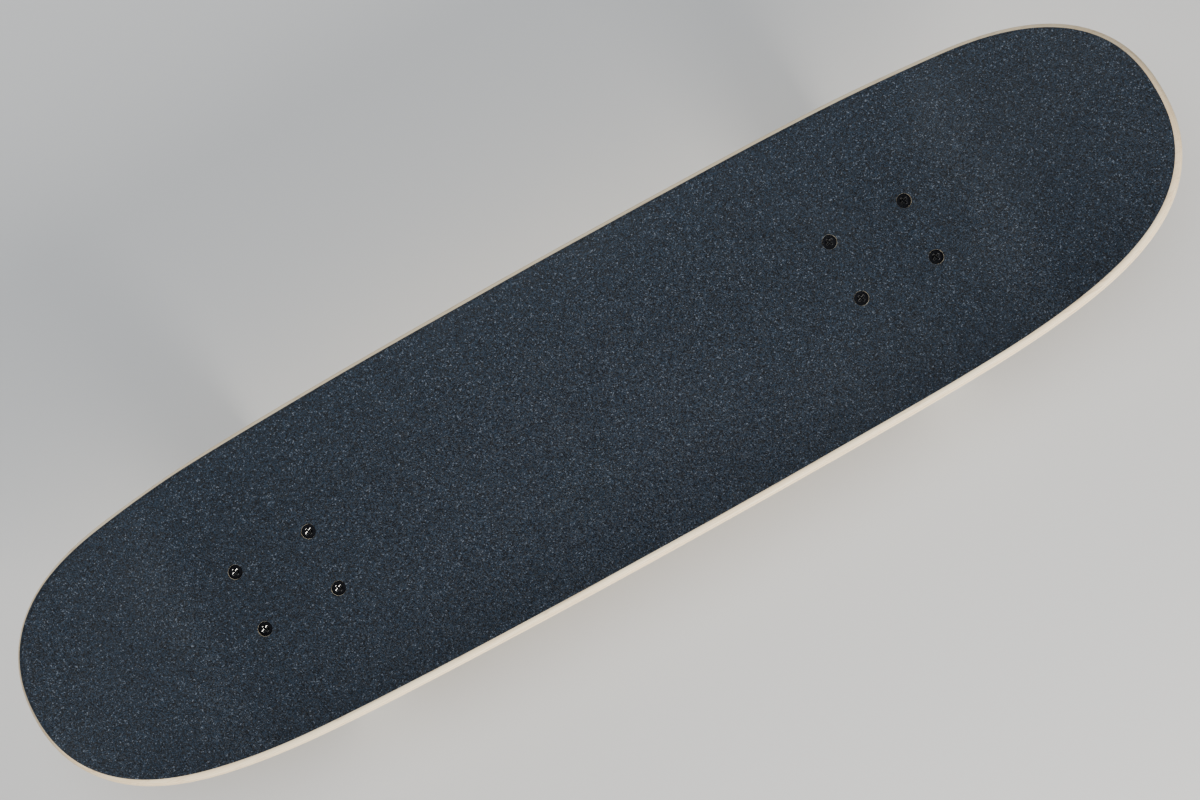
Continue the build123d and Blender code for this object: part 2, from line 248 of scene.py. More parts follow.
def objectVector(tree):
    return tree.nodes.new("ShaderNodeTexCoord").outputs["Object"]


def attributeValue(tree, name):
    return addNode(tree, "ShaderNodeAttribute", {}, {"attribute_name": name}).outputs["Fac"]


# effects that several materials share

def newGroup(name, inputs, outputs):
    group = bpy.data.node_groups.new(name, "ShaderNodeTree")
    group.interface.new_socket(name="Vector", in_out="INPUT", socket_type="NodeSocketVector")
    for label in inputs:
        group.interface.new_socket(name=label, in_out="INPUT", socket_type="NodeSocketFloat")
    for label in outputs:
        group.interface.new_socket(name=label, in_out="OUTPUT", socket_type="NodeSocketFloat")
    return group, group.nodes.new("NodeGroupInput").outputs, group.nodes.new("NodeGroupOutput").inputs


def handlingGroup():
    # faint grime, scuffs and dust that every handled surface carries
    scales, masks = ["Patch Scale", "Scratch Scale"], ["Grime", "Scratches", "Dust"]
    group, start, end = newGroup("handlingMarks", scales, masks)
    vector = start["Vector"]
    grime = noiseNode(group, vector, start["Patch Scale"], 5.0, 0.6)
    slanted = stretched(group, vector, (1.0, 9.0, 5.0), (0.3, 0.5, 0.7))
    scratches = noiseNode(group, slanted, start["Scratch Scale"], 2.0, 0.5, 0.6)
    dust = noiseNode(group, vector, 900.0, 2.0, 0.5)
    feed(group, rangeNode(group, grime, 0.45, 0.75), end["Grime"])
    feed(group, rangeNode(group, scratches, 0.62, 0.7), end["Scratches"])
    feed(group, rangeNode(group, dust, 0.55, 0.8), end["Dust"])
    return group


def castGroup():
    # the pebbled skin that a tumbled sand casting has
    group, start, end = newGroup("castSkin", ["Pebble Scale"], ["Height"])
    vector = start["Vector"]
    pebbles = times(group, noiseNode(group, vector, start["Pebble Scale"], 4.0, 0.62), 0.6)
    swell = times(group, noiseNode(group, vector, 120.0, 2.0, 0.5), 0.8)
    pits = times(group, rangeNode(group, cellNode(group, vector, 420.0)["Distance"], 0.0, 0.34), 0.25)
    feed(group, plus(group, plus(group, pebbles, swell), pits), end["Height"])
    return group


def grainGroup():
    # rotary-cut maple: long soft bands, fine pores and short flecks, all along X
    group, start, end = newGroup("mapleGrain", ["Seed"], ["Bands", "Pores", "Flecks"])
    lift = addNode(group, "ShaderNodeCombineXYZ", {"Z": start["Seed"]}).outputs[0]
    lifted = addNode(group, "ShaderNodeVectorMath", {0: start["Vector"], 1: lift}, {"operation": "ADD"})
    vector = lifted.outputs[0]
    figure = noiseNode(group, stretched(group, vector, (0.9, 9.0, 1.0)), 2.6, 3.0, 0.5, 0.8)
    rings = mathNode(group, "SINE", times(group, figure, 34.0))
    pores = noiseNode(group, stretched(group, vector, (14.0, 620.0, 60.0)), 1.0, 3.0, 0.6)
    flecks = noiseNode(group, stretched(group, vector, (70.0, 380.0, 60.0)), 1.0, 1.0, 0.4)
    feed(group, mathNode(group, "MULTIPLY_ADD", rings, 0.5, 0.5), end["Bands"])
    feed(group, rangeNode(group, pores, 0.52, 0.72), end["Pores"])
    feed(group, rangeNode(group, flecks, 0.66, 0.76), end["Flecks"])
    return group


handlingMarks = handlingGroup()
castSkin = castGroup()
mapleGrain = grainGroup()


def useGroup(tree, group, inputs):
    return addNode(tree, "ShaderNodeGroup", inputs, {"node_tree": group}).outputs


def addMarks(tree, vector, patch, scratch):
    return useGroup(tree, handlingMarks, {"Vector": vector, "Patch Scale": patch, "Scratch Scale": scratch})


# materials

def newMaterial(name, sockets):
    material = bpy.data.materials.new(name)
    material.use_nodes = True
    shader = material.node_tree.nodes["Principled BSDF"]
    for label, value in sockets.items():
        shader.inputs[label].default_value = value
    return material, material.node_tree, shader.inputs


def metalMaterial(name, look):
    # plated or oxidised steel: cloudy plating, handling marks, bare where it is rubbed
    material, tree, shader = newMaterial(name, {"Metallic": 1.0, "Specular IOR Level": 0.5})
    vector = objectVector(tree)
    mark = addMarks(tree, vector, look["patch"], look["scratch"])
    cloud = noiseNode(tree, vector, look["patch"] * 2.5, 4.0, 0.6)
    colour = mixColour(tree, cloud, look["dark"], look["light"])
    colour = stain(tree, colour, mark["Grime"], look["grime"], look["grimeColour"])
    colour = stain(tree, colour, mark["Scratches"], look["bright"], look["bare"])
    # the rubbed rim of a bolt's cross recess: lighter, partly real wear and partly a painted glint
    colour = stain(tree, colour, attributeValue(tree, "wornAndGlint"), 0.9, look["wornAndGlint"])
    feed(tree, colour, shader["Base Color"])
    rough = plus(tree, times(tree, cloud, 0.16), look["roughness"] - 0.08)
    feed(tree, plus(tree, rough, times(tree, mark["Grime"], 0.15)), shader["Roughness"])
    fine = noiseNode(tree, vector, look["fine"], 3.0, 0.6)
    height = minus(tree, fine, times(tree, mark["Scratches"], 0.5))
    feed(tree, bumpNode(tree, height, look["bump"], 0.6), shader["Normal"])
    return material


zincLook = dict(
    dark=(0.44, 0.45, 0.46), light=(0.60, 0.61, 0.61), grime=0.25, grimeColour=(0.24, 0.22, 0.19),
    bright=0.5, bare=(0.82, 0.82, 0.82), wornAndGlint=(0.24, 0.235, 0.225),
    roughness=0.32, patch=90.0, scratch=700.0, fine=2600.0, bump=0.00003)
blackOxideLook = dict(
    zincLook, dark=(0.002, 0.002, 0.0022), light=(0.005, 0.005, 0.006), grime=0.15,
    grimeColour=(0.012, 0.011, 0.010), bright=0.2, bare=(0.05, 0.05, 0.05), roughness=0.26)
bearingLook = dict(
    zincLook, dark=(0.62, 0.62, 0.63), light=(0.74, 0.74, 0.75), roughness=0.2, grime=0.15, bump=0.00001)
zincSteel = metalMaterial("zincSteel", zincLook)
blackSteel = metalMaterial("blackSteel", blackOxideLook)
bearingSteel = metalMaterial("bearingSteel", bearingLook)


def castMaterial():
    look = dict(
        dark=(0.40, 0.405, 0.41), light=(0.56, 0.565, 0.57), grime=0.35, grimeColour=(0.19, 0.18, 0.16),
        pebbles=1300.0, roughness=0.36, bump=0.00013)
    material, tree, shader = newMaterial("castAluminium", {"Metallic": 0.92, "Specular IOR Level": 0.5})
    vector = objectVector(tree)
    skin = useGroup(tree, castSkin, {"Vector": vector, "Pebble Scale": look["pebbles"]})
    mark = addMarks(tree, vector, 45.0, 260.0)
    colour = mixColour(tree, noiseNode(tree, vector, 160.0, 5.0, 0.65), look["dark"], look["light"])
    colour = stain(tree, colour, mark["Grime"], look["grime"], look["grimeColour"])
    feed(tree, colour, shader["Base Color"])
    rough = plus(tree, times(tree, mark["Grime"], 0.18), look["roughness"])
    feed(tree, minus(tree, rough, times(tree, mark["Scratches"], 0.1)), shader["Roughness"])
    feed(tree, bumpNode(tree, skin["Height"], look["bump"], 0.8), shader["Normal"])
    return material


castAluminium = castMaterial()


def softMaterial(name, look):
    # cast urethane, moulded rubber and nylon
    material, tree, shader = newMaterial(name, {
        "Subsurface Weight": look["glow"], "Subsurface Scale": 0.004, "Subsurface Radius": (1.0, 0.8, 0.6),
        "Specular IOR Level": 0.45})
    vector = objectVector(tree)
    mark = addMarks(tree, vector, look["patch"], look["scratch"])
    cloud = noiseNode(tree, vector, look["patch"] * 1.7, 4.0, 0.55)
    colour = mixColour(tree, cloud, look["dark"], look["light"])
    colour = stain(tree, colour, mark["Grime"], look["grime"], look["grimeColour"])
    colour = stain(tree, colour, mark["Dust"], look["dust"], look["dustColour"])
    # road dirt where a wheel rolls
    dirt = rangeNode(tree, noiseNode(tree, vector, 240.0, 4.0, 0.6), 0.3, 0.7, 0.45, 1.0)
    rolled = times(tree, times(tree, attributeValue(tree, "tread"), look["tread"]), dirt)
    feed(tree, mixColour(tree, rolled, colour, look["grimeColour"]), shader["Base Color"])
    rough = plus(tree, times(tree, mark["Grime"], 0.2), look["roughness"])
    feed(tree, plus(tree, rough, times(tree, rolled, 0.3)), shader["Roughness"])
    fine = times(tree, noiseNode(tree, vector, look["fine"], 3.0, 0.6), 0.7)
    height = minus(tree, plus(tree, fine, cloud), times(tree, mark["Scratches"], 0.6))
    feed(tree, bumpNode(tree, height, look["bump"], 0.7), shader["Normal"])
    return material


wheelLook = dict(
    dark=(0.66, 0.63, 0.55), light=(0.78, 0.76, 0.69), grime=0.3, grimeColour=(0.34, 0.31, 0.26),
    dust=0.12, dustColour=(0.5, 0.47, 0.42), tread=0.55, glow=0.12,
    roughness=0.34, patch=28.0, scratch=320.0, fine=1900.0, bump=0.00005)
bushingLook = dict(
    wheelLook, dark=(0.62, 0.53, 0.34), light=(0.74, 0.66, 0.46), roughness=0.38, glow=0.25, patch=60.0)
blackRubberLook = dict(
    wheelLook, dark=(0.012, 0.012, 0.013), light=(0.024, 0.024, 0.025), grimeColour=(0.07, 0.065, 0.06),
    dustColour=(0.12, 0.115, 0.11), roughness=0.5, glow=0.0, patch=120.0)
nylonLook = dict(
    wheelLook, dark=(0.66, 0.67, 0.64), light=(0.76, 0.77, 0.74), roughness=0.4, glow=0.2, patch=150.0)
wheelUrethane = softMaterial("wheelUrethane", wheelLook)
bushingUrethane = softMaterial("bushingUrethane", bushingLook)
blackRubber = softMaterial("blackRubber", blackRubberLook)
nylonInsert = softMaterial("nylonInsert", nylonLook)


def mapleMaterial():
    # reads plyDepth (0 top veneer, 1 bottom one), endFacing (1 at nose and tail) and onRim
    look = dict(
        plies=7, crossPlies=(2.0, 4.0), pale=(0.94, 0.79, 0.53), warm=(0.80, 0.60, 0.35),
        poreColour=(0.40, 0.25, 0.13), endColour=(0.55, 0.36, 0.19), glueColour=(0.24, 0.14, 0.07),
        glueWidth=0.055, roughness=0.42, bump=0.00005)
    material, tree, shader = newMaterial("maple", {"Specular IOR Level": 0.45, "Coat Roughness": 0.18})
    vector = objectVector(tree)
    depth = attributeValue(tree, "plyDepth")
    facing = attributeValue(tree, "endFacing")
    onRim = attributeValue(tree, "onRim")
    layer = times(tree, depth, look["plies"] * 0.9999)
    ply = mathNode(tree, "FLOOR", layer)
    inPly = mathNode(tree, "FRACT", layer)
    grain = useGroup(tree, mapleGrain, {"Vector": vector, "Seed": times(tree, ply, 3.7)})
    colour = stain(tree, look["pale"], grain["Bands"], 0.45, look["warm"])
    colour = stain(tree, colour, grain["Pores"], 0.35, look["poreColour"])
    colour = stain(tree, colour, grain["Flecks"], 0.3, look["poreColour"])
    # cross plies show end grain along the rails, the others at nose and tail
    crossings = [mathNode(tree, "COMPARE", ply, number, 0.1) for number in look["crossPlies"]]
    longPly = minus(tree, 1.0, plus(tree, *crossings))
    endGrain = minus(tree, 1.0, mathNode(tree, "ABSOLUTE", minus(tree, facing, longPly)))
    speckle = rangeNode(tree, noiseNode(tree, vector, 2600.0, 2.0, 0.6), 0.4, 0.65, 0.25, 0.6)
    colour = stain(tree, colour, times(tree, endGrain, onRim), speckle, look["endColour"])
    edge = mathNode(tree, "ABSOLUTE", minus(tree, inPly, 0.5))
    glue = times(tree, rangeNode(tree, edge, 0.5 - look["glueWidth"], 0.5), onRim)
    colour = stain(tree, colour, glue, 0.6, look["glueColour"])
    mark = addMarks(tree, vector, 9.0, 90.0)
    feed(tree, stain(tree, colour, mark["Grime"], 0.12, look["glueColour"]), shader["Base Color"])
    rough = plus(tree, look["roughness"], times(tree, grain["Pores"], 0.12))
    feed(tree, plus(tree, rough, times(tree, onRim, 0.12)), shader["Roughness"])
    lacquer = times(tree, rangeNode(tree, depth, 0.9, 0.97), minus(tree, 1.0, onRim))
    feed(tree, times(tree, lacquer, 0.6), shader["Coat Weight"])
    grooves = plus(tree, grain["Pores"], times(tree, glue, 1.5))
    height = minus(tree, times(tree, grain["Bands"], 0.3), grooves)
    feed(tree, bumpNode(tree, height, look["bump"], 0.6), shader["Normal"])
    return material


maple = mapleMaterial()


def gripMaterial(name, loose):
    # black grit in resin: each grain is a small facet with its own colour and gloss; the palest grains are
    # painted glints, and loose grains get more of them
    # the pale colour and the two thresholds after it set the painted glints
    look = dict(
        grain=1700.0, cluster=520.0, resin=(0.002, 0.003, 0.005), mid=(0.0125, 0.0255, 0.0440),
        pale=(0.115, 0.135, 0.165), paintedGlintFrom=0.62 if loose else 1.17, paintedGlintSpan=0.6 if loose else 0.12,
        dust=0.06, cut=0.55, dustColour=(0.10, 0.105, 0.11), roughness=0.64, bump=0.00022,
        facets=620.0, facetBump=0.00014)
    material, tree, shader = newMaterial(name, {"Specular IOR Level": 0.28})
    vector = objectVector(tree)
    cells = cellNode(tree, vector, look["grain"])
    split = addNode(tree, "ShaderNodeSeparateColor", {"Color": cells["Color"]}).outputs
    toneRandom, glossRandom = split[0], split[1]
    crowd = noiseNode(tree, vector, look["cluster"], 3.0, 0.6)
    tone = plus(tree, toneRandom, times(tree, crowd, 0.5))
    colour = mixColour(tree, rangeNode(tree, tone, 0.47, 1.12), look["resin"], look["mid"])
    # painted glints: grains at the top of the random tone turn pale blue-grey, standing in for light caught
    # by their facets
    paintedGlint = rangeNode(tree, tone, look["paintedGlintFrom"], look["paintedGlintFrom"] + look["paintedGlintSpan"])
    colour = mixColour(tree, paintedGlint, colour, look["pale"])
    mark = addMarks(tree, vector, 6.0, 60.0)
    colour = stain(tree, colour, mark["Grime"], look["dust"], look["dustColour"])
    if not loose:
        colour = stain(tree, colour, attributeValue(tree, "cutEdge"), look["cut"], look["dustColour"])
    feed(tree, colour, shader["Base Color"])
    gloss = rangeNode(tree, glossRandom, 0.0, 1.0, look["roughness"] - 0.3, look["roughness"] + 0.25)
    feed(tree, gloss, shader["Roughness"])
    height = times(tree, minus(tree, 1.0, cells["Distance"]), plus(tree, glossRandom, 0.35))
    facets = bumpNode(tree, noiseNode(tree, vector, look["facets"], 2.0, 0.5), look["facetBump"], 0.7)
    feed(tree, bumpNode(tree, height, look["bump"], 0.9), facets.node.inputs["Normal"])
    feed(tree, facets, shader["Normal"])
    return material


gripSheetMaterial = gripMaterial("gripSheet", loose=False)
gritMaterial = gripMaterial("gritGrain", loose=True)
print("materials ready")


# deck

board = dict(
    wheelbaseMiddle=-0.008, thickness=0.011, width=0.2053, flatHalf=0.038, concaveRadius=0.239,
    kickStart=0.2665, kickRadius=0.120, edgeRound=0.0042, around=520, across=34,
    crowding=0.7, outlineSteps=8000, spineInset=0.062,
    nose=dict(length=0.408, taper=0.074, power=7.41, fullness=2.274, angle=math.radians(22)),
    tail=dict(length=0.392, taper=0.101, power=7.94, fullness=2.156, angle=math.radians(20)))
board["top"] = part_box("deck")[0].z + board["thickness"]
boltLook = dict(
    headRadius=0.00465, shaftRadius=0.0024, headRim=0.0004, proud=0.0003, length=0.0254, pitch=0.0008,
    threadDepth=0.00038, crossLength=0.0052, crossWidth=0.0011, crossDepth=0.0019, crossTurn=0.4,
    threadShare=0.45, wear=0.00015)


def endOf(x):
    # the nose's or the tail's values, for a place along the board
    return board["nose"] if x >= 0 else board["tail"]


def outlinePoint(turn):
    # the plan outline from the wheelbase's middle, turn goes once round from the nose tip by the left rail
    along = math.cos(turn)
    end = endOf(along)
    share = abs(along) ** board["crowding"]
    across = max(0.0, 1 - share ** end["power"]) ** (1 / end["fullness"])
    half = board["width"] / 2 * (1 - end["taper"] * share ** 2) * across
    return Vector((math.copysign(share * end["length"], along), math.copysign(half, math.sin(turn))))


def evenOutline(count):
    # the outline again at even steps along its length, with its outward normals
    steps = board["outlineSteps"]
    fine = [outlinePoint(fullTurn * (step + 0.5) / steps) for step in range(steps)]
    run = [0.0]
    for step in range(1, steps + 1):
        run.append(run[-1] + (fine[step % steps] - fine[step - 1]).length)
    points = []
    step = 0
    for index in range(count):
        target = run[-1] * index / count
        while run[step + 1] < target:
            step += 1
        share = (target - run[step]) / (run[step + 1] - run[step])
        points.append(fine[step % steps].lerp(fine[(step + 1) % steps], share))
    normals = []
    for index in range(count):
        along = points[(index + 1) % count] - points[index - 1]
        normals.append(Vector((along.y, -along.x)).normalized())
    return points, normals


def deckPoint(x, y, rise):
    # a point over plan (x, y) on the sheet that lies rise above the deck's pressed top
    side = abs(y) - board["flatHalf"]
    height = rise
    if side > 0:
        height = board["concaveRadius"] - math.sqrt((board["concaveRadius"] - rise) ** 2 - side ** 2)
    angle = endOf(x)["angle"]
    run = abs(x) - board["kickStart"]
    radius = board["kickRadius"] - height
    if run > 0:
        if run < radius * math.sin(angle):
            height = board["kickRadius"] - math.sqrt(radius ** 2 - run ** 2)
        else:
            straight = (run - radius * math.sin(angle)) / math.cos(angle)
            height = board["kickRadius"] - radius * math.cos(angle) + straight * math.sin(angle)
    return Vector((x + board["wheelbaseMiddle"], y, height + board["top"]))


def deckNormal(x, y):
    step = 0.0004
    along = deckPoint(x + step, y, 0) - deckPoint(x - step, y, 0)
    across = deckPoint(x, y + step, 0) - deckPoint(x, y - step, 0)
    return along.cross(across).normalized()


def wayOut(out, normal):
    # the outline's outward direction, laid into the sheet
    flat = Vector((out.x, out.y, 0))
    return (flat - flat.dot(normal) * normal).normalized()


def rimFrames():
    # for each outline point: the middle of the upper round, the sheet's normal, the way out and the inset
    rounding = board["edgeRound"]
    flatSide = board["thickness"] - 2 * rounding
    frames = []
    for point, out in zip(*evenOutline(board["around"])):
        outward = wayOut(out, deckNormal(point.x, point.y))
        inset = rounding + flatSide * max(0.0, outward.z)
        place = point - out * inset
        normal = deckNormal(place.x, place.y)
        frames.append((deckPoint(place.x, place.y, -rounding), normal, wayOut(out, normal), inset))
    return frames


rimPlaces = rimFrames()


def sheetRing(edge, share, rise):
    # a ring of points between the board's middle line and the given edge ring
    ring = []
    for point in edge:
        x = point.x - board["wheelbaseMiddle"]
        spine = x * (1 - board["spineInset"] / endOf(x)["length"])
        ring.append(deckPoint(spine + (x - spine) * share, point.y * share, rise))
    return ring


def sheetShares(count):
    return [math.sin(math.pi / 2 * step / count) for step in range(count)]


def deckBoard():
    rounding, thickness = board["edgeRound"], board["thickness"]
    flatSide = thickness - 2 * rounding
    arcSteps, sideSteps = 9, 4
    rim = []    # rings from the top edge over the side to the bottom edge, with their depth and share of rim
    for step in range(arcSteps + 1):
        angle = math.pi / 2 * step / arcSteps
        ring = [c + rounding * (math.cos(angle) * n + math.sin(angle) * o) for c, n, o, _ in rimPlaces]
        rim.append((ring, rounding * (1 - math.cos(angle)), min(1.0, step / 2)))
    for step in range(1, sideSteps):
        drop = flatSide * step / sideSteps
        rim.append(([c + rounding * o - drop * n for c, n, o, _ in rimPlaces], rounding + drop, 1.0))
    for step in range(arcSteps + 1):
        angle = math.pi / 2 * (1 - step / arcSteps)
        ring = []
        for c, n, o, _ in rimPlaces:
            ring.append(c - flatSide * n + rounding * (-math.cos(angle) * n + math.sin(angle) * o))
        rim.append((ring, thickness - rounding * (1 - math.cos(angle)), min(1.0, (arcSteps - step) / 2)))
    shares = sheetShares(board["across"])
    top = [(sheetRing(rim[0][0], share, 0), 0.0, 0.0) for share in shares]
    under = [(sheetRing(rim[-1][0], share, -thickness), thickness, 0.0) for share in reversed(shares)]
    rings = top + rim + under
    count = board["around"]
    points = [point for ring, _, _ in rings for point in ring]
    piece = meshPiece("deckBoard", points, ringFaces(len(rings), count), maple)
    addValues(piece, "plyDepth", [depth / thickness for _, depth, _ in rings for _ in range(count)])
    addValues(piece, "onRim", [share for _, _, share in rings for _ in range(count)])
    addValues(piece, "endFacing", [abs(outward.x) for _ in rings for _, _, outward, _ in rimPlaces])
    cleanNormals(piece, merge=0.00002)
    return piece


def boltPlaces(end):
    # centres of the four mounting bolts of one truck, on the deck's top
    low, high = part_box(end + "_mounting_bolts")
    inset = boltLook["headRadius"]
    xs, ys = (low.x + inset, high.x - inset), (low.y + inset, high.y - inset)
    return [Vector((x, y, board["top"])) for x in xs for y in ys]


def holeCutters(rows):
    # one turned cutter at each mounting bolt
    cutters = []
    for place in [place for end in ends for place in boltPlaces(end)]:
        cutter = ringSolid("cutter", rows, 40, closed=False)
        cutters.append(placeMesh(cutter, Matrix.Translation(place)))
    return cutters


def boltHoleRows():
    # countersink and shaft hole, with room round the bolt
    room, lip = 0.0001, -0.0002
    head, shaft = boltLook["headRadius"] + room, boltLook["shaftRadius"] + room
    return [(0.01, head), (lip, head), (lip - (head - shaft), shaft), (-0.03, shaft)]


deckBoardPiece = deckBoard()
cutHoles(deckBoardPiece, holeCutters(boltHoleRows()))
sharpenBy(deckBoardPiece, 50)
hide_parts("deck")
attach(deckBoardPiece, "board")
print("deck ready", len(deckBoardPiece.data.polygons))


# grip sheet

tape = dict(
    thickness=0.0008, inset=0.0034, wander=0.00025, wanderScale=14, drift=Vector((-0.0008, 0.0009, 0)),
    lift=0.00003, holeRadius=0.00488, across=26)


def sheetReach(place):
    # how far round the rounded edge the sheet goes, as an angle
    centre, _, outward, inset = place
    scale = tape["wanderScale"]
    wander = noise.noise(Vector((centre.x * scale, centre.y * scale, 3.1))) * tape["wander"]
    reach = inset - tape["inset"] + wander + tape["drift"].dot(outward)
    return math.asin(max(-0.2, min(0.9, reach / board["edgeRound"])))


def gripSheet():
    upper = board["edgeRound"] + tape["thickness"]
    lower = board["edgeRound"] + tape["lift"]
    wrap = [sheetReach(place) for place in rimPlaces]

    def wrapRing(radius, share):
        ring = []
        for (c, n, o, _), angle in zip(rimPlaces, wrap):
            ring.append(c + radius * (math.cos(angle * share) * n + math.sin(angle * share) * o))
        return ring

    arcSteps = 4
    shares = sheetShares(tape["across"])
    topEdge = [c + upper * n for c, n, _, _ in rimPlaces]
    lowEdge = [c + lower * n for c, n, _, _ in rimPlaces]
    rings = [(sheetRing(topEdge, share, tape["thickness"]), 0.0) for share in shares]
    for step in range(arcSteps + 1):
        rings.append((wrapRing(upper, step / arcSteps), float(step == arcSteps)))
    for step in range(arcSteps + 1):
        rings.append((wrapRing(lower, 1 - step / arcSteps), 1.0))
    rings += [(sheetRing(lowEdge, share, tape["lift"]), 1.0) for share in reversed(shares)]
    count = board["around"]
    points = [point for ring, _ in rings for point in ring]
    piece = meshPiece("gripSheet", points, ringFaces(len(rings), count), gripSheetMaterial)
    addValues(piece, "cutEdge", [cut for _, cut in rings for _ in range(count)])
    cleanNormals(piece, merge=0.00001)
    return piece


gripPiece = gripSheet()
cutHoles(gripPiece, holeCutters([(0.01, tape["holeRadius"]), (-0.0004, tape["holeRadius"])]))
sharpenBy(gripPiece, 40)
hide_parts("grip_tape")
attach(gripPiece, "board")
print("grip sheet ready", len(gripPiece.data.polygons))


# geometry node trees for what repeats

def newTree(name, inputs):
    tree = bpy.data.node_groups.new(name, "GeometryNodeTree")
    tree.interface.new_socket(name="Geometry", in_out="INPUT", socket_type="NodeSocketGeometry")
    for label, kind in inputs.items():
        tree.interface.new_socket(name=label, in_out="INPUT", socket_type="NodeSocket" + kind)
    tree.interface.new_socket(name="Geometry", in_out="OUTPUT", socket_type="NodeSocketGeometry")
    return tree, tree.nodes.new("NodeGroupInput").outputs, tree.nodes.new("NodeGroupOutput").inputs


def finishTree(tree, source, start, end):
    # realise what the tree made and give it its material
    realised = addNode(tree, "GeometryNodeRealizeInstances", {0: source}).outputs[0]
    painted = addNode(tree, "GeometryNodeSetMaterial", {"Geometry": realised, "Material": start["Material"]})
    feed(tree, painted.outputs[0], end[0])


def runTree(piece, tree, values):
    # sets the named inputs, evaluates once and keeps the result as a plain mesh
    modifier = piece.modifiers.new(tree.name, "NODES")
    modifier.node_group = tree
    for item in tree.interface.items_tree:
        if item.in_out == "INPUT" and item.name in values:
            modifier[item.identifier] = values[item.name]
    return applyModifiers(piece)


def gridTree():
    tree, start, end = newTree("copiesOnGrid", {
        "Part": "Object", "Spacing X": "Float", "Spacing Y": "Float", "Centre": "Vector",
        "Material": "Material"})
    grid = addNode(tree, "GeometryNodeMeshGrid", {
        "Vertices X": 2, "Vertices Y": 2, "Size X": start["Spacing X"], "Size Y": start["Spacing Y"]})
    moved = addNode(tree, "GeometryNodeTransform", {
        "Geometry": grid.outputs["Mesh"], "Translation": start["Centre"]})
    part = addNode(tree, "GeometryNodeObjectInfo", {"Object": start["Part"]}).outputs["Geometry"]
    copies = addNode(tree, "GeometryNodeInstanceOnPoints", {"Points": moved.outputs[0], "Instance": part})
    finishTree(tree, copies.outputs[0], start, end)
    return tree


copiesOnGrid = gridTree()


def copiesOnPattern(name, part, end, material, height):
    # one copy of the part at each of a truck's four mounting bolts
    places = boltPlaces(end)
    xs = sorted({round(place.x, 6) for place in places})
    ys = sorted({round(place.y, 6) for place in places})
    piece = meshPiece(name, [(0, 0, 0)], [])
    centre = ((xs[0] + xs[-1]) / 2, (ys[0] + ys[-1]) / 2, height)
    return runTree(piece, copiesOnGrid, {
        "Part": part, "Spacing X": xs[-1] - xs[0], "Spacing Y": ys[-1] - ys[0], "Centre": centre,
        "Material": material})


# grit grains standing on the sheet

grit = dict(perSquareMetre=130000, small=0.00012, large=0.00030, seed=11, upward=0.5)


def gritTree():
    tree, start, end = newTree("gritGrains", {
        "Density": "Float", "Seed": "Int", "Grain": "Object", "Small": "Float", "Large": "Float",
        "Material": "Material"})
    normal = tree.nodes.new("GeometryNodeInputNormal").outputs[0]
    rise = addNode(tree, "ShaderNodeSeparateXYZ", {0: normal}).outputs["Z"]
    upward = addNode(
        tree, "FunctionNodeCompare", {"A": rise, "B": grit["upward"]},
        {"data_type": "FLOAT", "operation": "GREATER_THAN"})
    points = addNode(tree, "GeometryNodeDistributePointsOnFaces", {
        "Mesh": start["Geometry"], "Selection": upward.outputs[0], "Density": start["Density"],
        "Seed": start["Seed"]})
    grain = addNode(tree, "GeometryNodeObjectInfo", {"Object": start["Grain"]}).outputs["Geometry"]
    turn = addNode(
        tree, "FunctionNodeRandomValue",
        {"Min": (0, 0, 0), "Max": (fullTurn, fullTurn, fullTurn), "Seed": start["Seed"]},
        {"data_type": "FLOAT_VECTOR"})
    size = addNode(
        tree, "FunctionNodeRandomValue", {2: start["Small"], 3: start["Large"], "Seed": start["Seed"]},
        {"data_type": "FLOAT"})
    copies = addNode(tree, "GeometryNodeInstanceOnPoints", {
        "Points": points.outputs["Points"], "Instance": grain, "Rotation": turn.outputs["Value"],
        "Scale": size.outputs[1]})
    finishTree(tree, copies.outputs[0], start, end)
    return tree


def grainSeed():
    # one angular crystal of unit size, an uneven octahedron
    points = [
        (1.0, 0.1, 0), (-0.8, -0.2, 0.1), (0.15, 0.9, -0.1), (-0.1, -1.0, 0.15), (0.1, 0, 0.75),
        (-0.05, 0.1, -0.8)]
    faces = [(0, 2, 4), (2, 1, 4), (1, 3, 4), (3, 0, 4), (2, 0, 5), (1, 2, 5), (3, 1, 5), (0, 3, 5)]
    return meshPiece("grainSeed", points, faces, smooth=False)


seedPiece = grainSeed()
grainPiece = bpy.data.objects.new("gritGrains", gripPiece.data.copy())
bpy.context.scene.collection.objects.link(grainPiece)
runTree(grainPiece, gritTree(), {
    "Density": grit["perSquareMetre"], "Seed": grit["seed"], "Grain": seedPiece,
    "Small": grit["small"], "Large": grit["large"], "Material": gritMaterial})
bpy.data.objects.remove(seedPiece)
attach(grainPiece, "board")
print("grit ready", len(grainPiece.data.polygons))


# threads, bolts and nuts

thread = dict(rowsPerTurn=6, runOut=1.2, rootFlat=0.1, steepness=1.25)
# lip and insert: depth below the nut's top and width outside its bore
nut = dict(
    hexShare=0.72, collarInset=0.0004, chamfer=0.00045, chamferShare=0.985, roll=0.0008,
    lip=((0.0, 0.0014), (0.0002, 0.0011), (0.0007, 0.0011), (0.0007, 0.0001)),
    insert=(
        (0.0018, -0.0001), (0.0018, 0.0010), (0.0006, 0.0010), (0.0003, 0.0008), (0.00035, 0.0002),
        (0.0006, -0.0001)))


def chamferedHex(flats, limit):
    # a hexagon's radius by angle, with its corners turned down to a limit
    sixth = math.pi / 3

    def radius(angle):
        local = (angle + sixth / 2) % sixth - sixth / 2
        return min(flats / 2 / math.cos(local), limit)

    return radius


